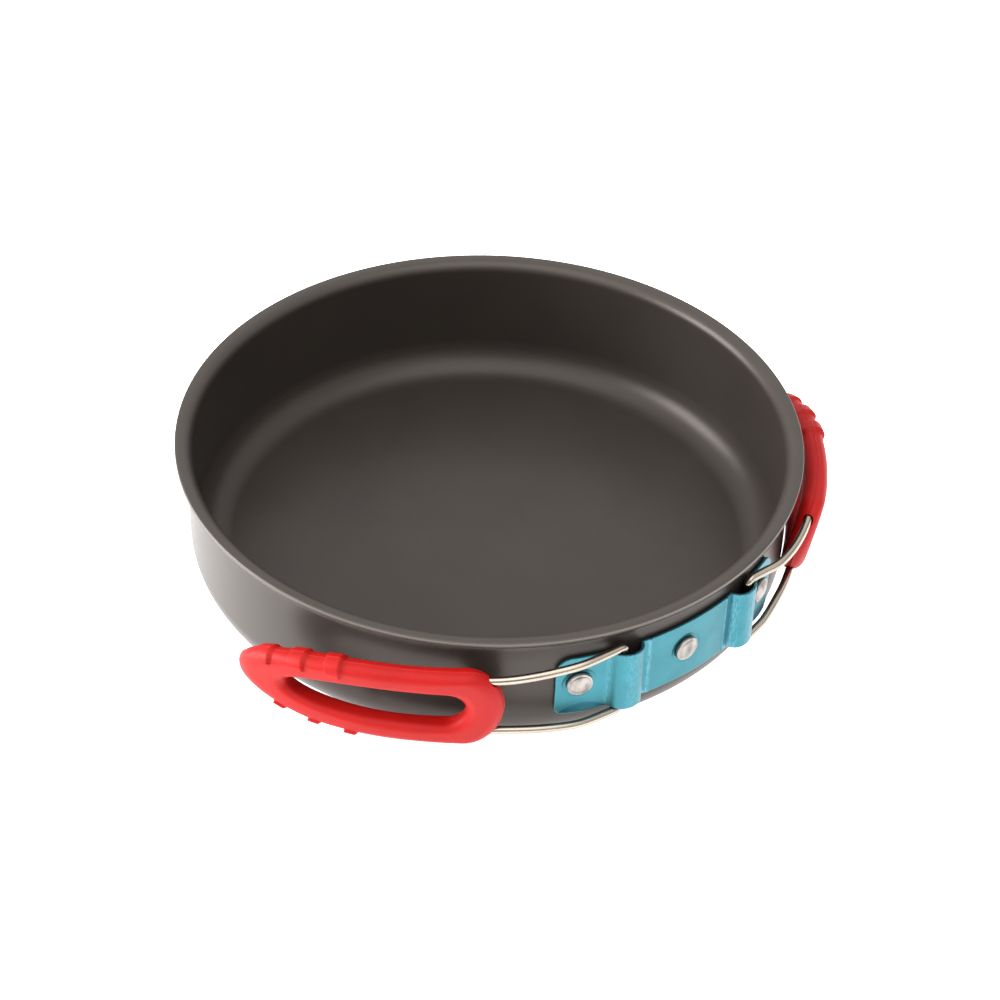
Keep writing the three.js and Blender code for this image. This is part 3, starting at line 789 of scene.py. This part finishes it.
# ---------------------------------------------------------------- handles
def grip_plan(along, out):
    """Plan points along a grip's curve and out from it, on the right-hand side."""
    start = math.radians(GRIP_START_ANGLE)
    turn = start + np.asarray(along) / GRIP_BEND
    radius = GRIP_BEND + np.asarray(out)
    centre = GRIP_START + GRIP_BEND * np.array([-math.sin(start), math.cos(start)])
    return np.stack([centre[0] + radius * np.sin(turn), centre[1] - radius * np.cos(turn)], -1)


def settle(handle, rise):
    """How far a folded handle leans outwards at a height above its middle line."""
    return handle["lean"] * rise - handle["inset"]


def grip_points(handle, along, rise, out):
    """Points in space: along the grip, up from its middle line, and out from its curve."""
    plan = grip_plan(along, out + settle(handle, rise))
    z = HANDLE_MIDDLE - GRIP_DROOP * np.asarray(along) + rise
    return np.stack([handle["side"] * plan[..., 0], plan[..., 1], z], -1)


def swing(handle, points):
    """Turns points made for the unturned handle to where it has settled about its pivot."""
    a = math.radians(handle["side"] * handle["turn"])
    pivot = pivot_of(handle["word"]) * [handle["side"], 1]
    moved = np.array(points, float)
    x, y = moved[:, 0] - pivot[0], moved[:, 1] - pivot[1]
    moved[:, 0] = pivot[0] + x * math.cos(a) - y * math.sin(a)
    moved[:, 1] = pivot[1] + x * math.sin(a) + y * math.cos(a)
    return moved


def far_half(view, along):
    """Half height of a side view at a place past its straight part."""
    share = np.clip((np.asarray(along, float) - view["far"]) / (view["end"] - view["far"]), 0, 1)
    return view["half"] * (1 - share ** view["power"]) ** (1 / view["power"])


def limb_rise(along):
    """Height of a limb's own middle line, where the wire runs, above that of the grip."""
    return (far_half(GRIP_SIDE, along) + far_half(HOLE_SIDE, along)) / 2


def half_wire(handle, up):
    """Wire from a pivot leg's free end to the grip's far end, and how many points are outside."""
    side = handle["side"]
    pivot = pivot_of(handle["word"])
    arms = [(angle + handle["shift"] * (1 - share), radius, share)
            for angle, radius, share in ARM_ROUTE]
    heading = polar(*arms[0][:2]) - pivot
    heading /= np.linalg.norm(heading)
    points = [[side * pivot[0], pivot[1], HANDLE_MIDDLE + up * LEG_END_RISE]]
    points.append([side * pivot[0], pivot[1], HANDLE_MIDDLE + up * (LEG_END_RISE + ARM_RISE) / 2])
    for a in np.radians(np.linspace(0, 90, BEND_STEPS)):
        plan = pivot + heading * BEND_RADIUS * (1 - math.cos(a))
        rise = ARM_RISE - BEND_RADIUS * (1 - math.sin(a))
        points.append([side * plan[0], plan[1], HANDLE_MIDDLE + up * rise])
    level = float(limb_rise(0))
    entry = grip_points(handle, WIRE_ENTRY, up * level, 0)
    inside = grip_points(handle, WIRE_ENTRY + ENTRY_RUN, up * level, 0)
    knots = [pivot + heading * BEND_RADIUS]
    knots += [polar(angle, radius + share * settle(handle, up * level))
              for angle, radius, share in arms]
    knots += [[side * entry[0], entry[1]], [side * inside[0], inside[1]]]
    samples = np.linspace(0, 1, ARM_STEPS + 1)[1:]
    entry_share = (len(knots) - 2) / (len(knots) - 1)
    share = smoothstep(samples, ARM_LEVEL_SHARE, entry_share)
    rise = ARM_RISE + (up * (inside[2] - HANDLE_MIDDLE) - ARM_RISE) * share
    route = spline(knots, samples)
    points += np.stack([side * route[:, 0], route[:, 1], HANDLE_MIDDLE + up * rise], 1).tolist()
    outside = len(points) - int(round(ARM_STEPS * (1 - entry_share)))
    along = np.linspace(WIRE_ENTRY + ENTRY_RUN, WIRE_TURN, LIMB_STEPS)[1:]
    points += grip_points(handle, along, up * limb_rise(along), 0).tolist()
    a = np.radians(np.linspace(0, 90, TURN_STEPS))[1:]
    along = WIRE_TURN + (WIRE_END - WIRE_TURN) * np.sin(a)
    rise = up * float(limb_rise(WIRE_TURN)) * np.cos(a)
    points += grip_points(handle, along, rise, 0 * a).tolist()
    return np.array(points), outside


def wire_path(handle):
    """The whole wire from one pivot leg to the other, and how many points are outside the grip."""
    upper, outside = half_wire(handle, 1)
    lower, _ = half_wire(handle, -1)
    return swing(handle, np.vstack([upper, lower[:-1][::-1]])), outside


def wire(handle, material):
    path, _ = wire_path(handle)
    radii = np.full(len(path), WIRE_RADIUS)
    radii[[0, -1]] -= LEG_END_ROUND
    near_start = path[0] + (path[1] - path[0]) * LEG_END_SHARE
    near_end = path[-1] + (path[-2] - path[-1]) * LEG_END_SHARE
    path = np.vstack([path[:1], near_start, path[1:-1], near_end, path[-1:]])
    radii = np.concatenate([radii[:1], [WIRE_RADIUS], radii[1:-1], [WIRE_RADIUS], radii[-1:]])
    points, faces = tube(path, radii, WIRE_SIDES)
    around = np.tile(np.abs(np.linspace(-1, 1, WIRE_SIDES, endpoint=False)), len(path))
    shades = {"along": np.repeat(run_length(path), WIRE_SIDES), "around": around}
    made = new_object(f"wire_{handle['word']}_bent", points, faces, shades)
    finish_piece(made, material, f"{handle['word']}_handle", f"wire_{handle['word']}")


def side_outline(view, near_steps, straight_steps, far_steps):
    """Closed side view, anticlockwise from the top of its near end."""
    half = view["half"]
    near_length = view["near"] - view["start"]
    straight_length = view["far"] - view["near"]
    far_length = view["end"] - view["far"]
    share = np.arange(straight_steps) / straight_steps
    power = 2 / view["power"]
    a = np.radians(90 + 180 * np.arange(near_steps) / near_steps)
    near = np.stack([view["near"] + near_length * np.cos(a), half * np.sin(a)], 1)
    low = np.stack([view["near"] + straight_length * share, -half + 0 * share], 1)
    a = np.radians(-90 + 180 * np.arange(far_steps) / far_steps)
    far = np.stack([
        view["far"] + far_length * np.abs(np.cos(a)) ** power,
        half * np.sign(np.sin(a)) * np.abs(np.sin(a)) ** power,
    ], 1)
    top = np.stack([view["far"] - straight_length * share, half + 0 * share], 1)
    return np.vstack([near, low, far, top])


def limb_section(width, outer_round, hole_round):
    """Section of a limb: distance from the hole's edge, and out; it starts at the outer crest."""
    half = GRIP_THICKNESS / 2
    outer_depth = half - OUTER_CREST
    hole_depth = half - HOLE_CREST
    crest = np.linspace(0, OUTER_CREST, CREST_STEPS)[:-1]
    outer = arc(width - outer_round, half - outer_depth, outer_round, outer_depth, 0, 90, CORNER_STEPS)
    flat = np.linspace(width - outer_round, hole_round, FACE_STEPS)[1:-1]
    hole = arc(hole_round, half - hole_depth, hole_round, hole_depth, 90, 180, CORNER_STEPS)
    bottom = np.linspace(HOLE_CREST, 0, CREST_STEPS)[1:]
    quarter = np.vstack([
        np.stack([width + 0 * crest, crest], 1),
        outer,
        np.stack([flat, half + 0 * flat], 1),
        hole,
        np.stack([0 * bottom, bottom], 1),
    ])
    swell = np.sin(np.pi * np.clip(quarter[:, 0] / width, 0, 1))
    quarter[:, 1] += GRIP_CROWN * swell * (quarter[:, 1] / half) ** 4
    mirrored = quarter[1:-1][::-1] * [1, -1]
    return np.vstack([quarter, mirrored])


def pad_height(along, reach):
    """Ratchet pads on the upper limb: steep on the near side, round outline on the far side."""
    total = 0 * along
    down = reach / PAD_REACH
    length = PAD_LENGTH * np.sqrt(np.clip(1 - down ** 4, 0, 1))
    for i in range(RIB_COUNT):
        x = along - PAD_START - i * RIB_SPACING
        inside = smoothstep(x, 0, PAD_NEAR_EDGE) * smoothstep(length - x, 0, PAD_FAR_EDGE)
        slope = 1 - PAD_FALL * np.clip(x / PAD_LENGTH, 0, 1)
        total += PAD_RISE * inside * slope * (1 - PAD_THINNING * np.clip(down, 0, 1))
    return total


def bump_height(along, reach):
    """Short square bumps under the lower limb."""
    total = 0 * along
    for i in range(RIB_COUNT):
        x = along - BUMP_START - i * RIB_SPACING
        inside = smoothstep(x, 0, BUMP_EDGE) * smoothstep(BUMP_LENGTH - x, 0, BUMP_EDGE)
        total += BUMP_RISE * inside * smoothstep(BUMP_REACH - reach, 0, BUMP_FOOT)
    return total


def limb_rounding(along):
    """Rounding of a limb's outer edge and of its hole edge, at a place on the outer outline."""
    far = float(smoothstep(along, *FAR_EASE))
    near = float(smoothstep(NEAR_EASE[1] - along, 0, NEAR_EASE[1] - NEAR_EASE[0]))
    return [r["middle"] + r["far"] * far + r["near"] * near for r in (OUTER_ROUND, HOLE_ROUND)]


def section_normals(section):
    tangent = np.roll(section, -1, 0) - np.roll(section, 1, 0)
    normal = np.stack([tangent[:, 1], -tangent[:, 0]], 1)
    normal /= np.maximum(np.linalg.norm(normal, axis=1), 1e-9)[:, None]
    return normal if normal[0, 0] >= 0 else -normal


def section_reach(section):
    """Distance of each point from the outer crest, the shorter way round the section."""
    reach = run_length(section)
    whole = reach[-1] + np.linalg.norm(section[0] - section[-1])
    return np.minimum(reach, whole - reach)


def raised_detail(section, reach, along, upper):
    """How far the seams and the pads or bumps stand proud of the limb."""
    out = section[:, 1]
    proud = SEAM_RISE * bell(reach, 0, 0.2)
    proud = proud + HOLE_SEAM_RISE * bell(section[:, 0], 0, 0.05) * bell(out, 0, 0.14)
    if not upper:
        return proud + bump_height(along, reach)
    back_share = PAD_BACK + (1 - PAD_BACK) * bell(reach, 0, PAD_BACK_FADE)
    return proud + pad_height(along, reach) * np.where(out < 0, back_share, 1)


def grip_skin(handle):
    """Points and faces of the silicone sleeve before it is bored."""
    outer = side_outline(GRIP_SIDE, *OUTLINE_STEPS)
    hole = side_outline(HOLE_SIDE, *OUTLINE_STEPS)
    rings = []
    for (outer_along, outer_rise), (hole_along, hole_rise) in zip(outer, hole):
        across = np.array([outer_along - hole_along, outer_rise - hole_rise])
        width = math.hypot(*across)
        section = limb_section(width, *limb_rounding(outer_along))
        share = section[:, 0] / width
        along = hole_along + across[0] * share
        rise = hole_rise + across[1] * share
        normal = section_normals(section)
        proud = raised_detail(section, section_reach(section), along, outer_rise > 0)
        along = along + across[0] / width * normal[:, 0] * proud
        rise = rise + across[1] / width * normal[:, 0] * proud
        rings.append(grip_points(handle, along, rise, section[:, 1] + normal[:, 1] * proud))
    rings = np.array(rings)
    faces = grid_faces(rings.shape[0], rings.shape[1], True, True)
    return swing(handle, rings.reshape(-1, 3)), faces


def grip_bore(handle):
    """The wire's way through the sleeve, with a wider mouth where each arm goes in."""
    path, outside = wire_path(handle)
    run = run_length(path)
    start, end = run[outside], run[len(path) - 1 - outside]
    to_mouth = np.minimum(run - start, end - run)
    widening = (MOUTH_RADIUS - BORE_RADIUS) * (1 - smoothstep(to_mouth, 0.2, MOUTH_DEPTH))
    keep = to_mouth > -BORE_OVERRUN
    return tube(path[keep], (BORE_RADIUS + widening)[keep], BORE_SIDES)


def grip(handle, material):
    word = handle["word"]
    made = new_object(f"grip_{word}_sleeve", *grip_skin(handle))
    cut(made, new_object("bore", *grip_bore(handle)))
    finish_piece(made, material, f"{word}_handle", f"grip_{word}", sharp=50)


# ---------------------------------------------------------------- camera, light and floor
def camera():
    azimuth = math.radians(CAMERA_AZIMUTH)
    roll = math.radians(CAMERA_ROLL)
    forward = -Vector(direction_of(CAMERA_AZIMUTH, CAMERA_ELEVATION))
    right = Vector((math.cos(azimuth), math.sin(azimuth), 0))
    up = right.cross(forward)
    rolled_right = math.cos(roll) * right + math.sin(roll) * up
    rolled_up = math.cos(roll) * up - math.sin(roll) * right
    distance = CAMERA_DISTANCE * MM
    across = LIP_ACROSS * CAMERA_SENSOR / CAMERA_LENS * distance
    down = LIP_DOWN * CAMERA_SENSOR / CAMERA_LENS * distance
    lip = Vector((0, 0, PAN_HEIGHT * MM))
    data = bpy.data.cameras.new("camera")
    data.lens = CAMERA_LENS
    data.sensor_width = CAMERA_SENSOR
    data.clip_start = 0.01
    made = bpy.data.objects.new("camera", data)
    bpy.context.scene.collection.objects.link(made)
    made.location = lip - forward * distance - rolled_right * across + rolled_up * down
    turned = [rolled_right, rolled_up, -forward]
    made.rotation_mode = "QUATERNION"
    made.rotation_quaternion = Matrix(turned).transposed().to_quaternion()
    bpy.context.scene.camera = made


def direction_of(azimuth, elevation):
    """Unit direction of a place seen from the pan, from degrees."""
    a, e = math.radians(azimuth), math.radians(elevation)
    return (math.sin(a) * math.cos(e), -math.cos(a) * math.cos(e), math.sin(e))


def softbox(name, azimuth, elevation, distance, size, power):
    """A soft square light that looks at the pan from the given direction."""
    data = bpy.data.lights.new(name, "AREA")
    data.shape = "SQUARE"
    data.size = size
    data.energy = power
    made = bpy.data.objects.new(name, data)
    bpy.context.scene.collection.objects.link(made)
    place = Vector(direction_of(azimuth, elevation)) * distance
    made.location = place
    made.rotation_mode = "QUATERNION"
    made.rotation_quaternion = (-place).to_track_quat("-Z", "Y")


def studio_world():
    """White surroundings, darker near the horizon and in the part of the room behind the camera."""
    world = bpy.data.worlds.new("studio")
    world.use_nodes = True
    tree = world.node_tree
    background = tree.nodes["Background"]
    background.inputs["Color"].default_value = (1, 1, 1, 1)
    direction = tree.nodes.new("ShaderNodeTexCoord").outputs["Generated"]

    def toward(azimuth, elevation, low, high, outside, inside):
        """A light level that changes between two angles from one fixed direction of the room."""
        dot = tree.nodes.new("ShaderNodeVectorMath")
        dot.operation = "DOT_PRODUCT"
        tree.links.new(direction, dot.inputs[0])
        dot.inputs[1].default_value = direction_of(azimuth, elevation)
        ramp = tree.nodes.new("ShaderNodeMapRange")
        ramp.interpolation_type = "SMOOTHSTEP"
        tree.links.new(dot.outputs["Value"], ramp.inputs["Value"])
        ramp.inputs["From Min"].default_value = math.cos(math.radians(low))
        ramp.inputs["From Max"].default_value = math.cos(math.radians(high))
        ramp.inputs["To Min"].default_value = outside
        ramp.inputs["To Max"].default_value = inside
        return ramp.outputs[0]

    product = tree.nodes.new("ShaderNodeMath")
    product.operation = "MULTIPLY"
    overhead = toward(azimuth=0, elevation=90, low=82, high=62, outside=0.25, inside=1)
    camera_side = toward(azimuth=CAMERA_AZIMUTH, elevation=36, low=24, high=12, outside=1, inside=0.4)
    tree.links.new(overhead, product.inputs[0])
    tree.links.new(camera_side, product.inputs[1])
    level = tree.nodes.new("ShaderNodeMath")
    level.operation = "MULTIPLY"
    level.inputs[1].default_value = ROOM_LEVEL
    tree.links.new(product.outputs[0], level.inputs[0])
    tree.links.new(level.outputs[0], background.inputs["Strength"])
    return world


def pale_floor():
    look = Shader("pale_floor", 0.0, 0.9)
    look.surface.inputs["Base Color"].default_value = (FLOOR_WHITE, FLOOR_WHITE, FLOOR_WHITE, 1)
    look.surface.inputs["Emission Color"].default_value = (1, 1, 1, 1)
    look.surface.inputs["Emission Strength"].default_value = FLOOR_GLOW
    corners = [(x * FLOOR_HALF * MM, y * FLOOR_HALF * MM, -FLOOR_DROP * MM)
               for x, y in ((-1, -1), (1, -1), (1, 1), (-1, 1))]
    mesh = bpy.data.meshes.new("floor")
    mesh.from_pydata(corners, [], [[0, 1, 2, 3]])
    floor = bpy.data.objects.new("floor", mesh)
    bpy.context.scene.collection.objects.link(floor)
    mesh.materials.append(look.material)


def studio():
    scene = bpy.context.scene
    scene.view_settings.view_transform = "Standard"
    scene.world = studio_world()
    for box in SOFTBOXES:
        softbox(**box)
    pale_floor()


# ---------------------------------------------------------------- assembly
camera()
studio()
pan_body(hard_anodised())
bracket(teal_anodised())
rivet_look = bare_aluminium()
for rivet_word, rivet_angle in RIVETS.items():
    rivet(rivet_word, rivet_angle, rivet_look)
wire_look = stainless_wire()
grip_look = red_silicone()
for one_handle in HANDLES:
    wire(one_handle, wire_look)
    grip(one_handle, grip_look)
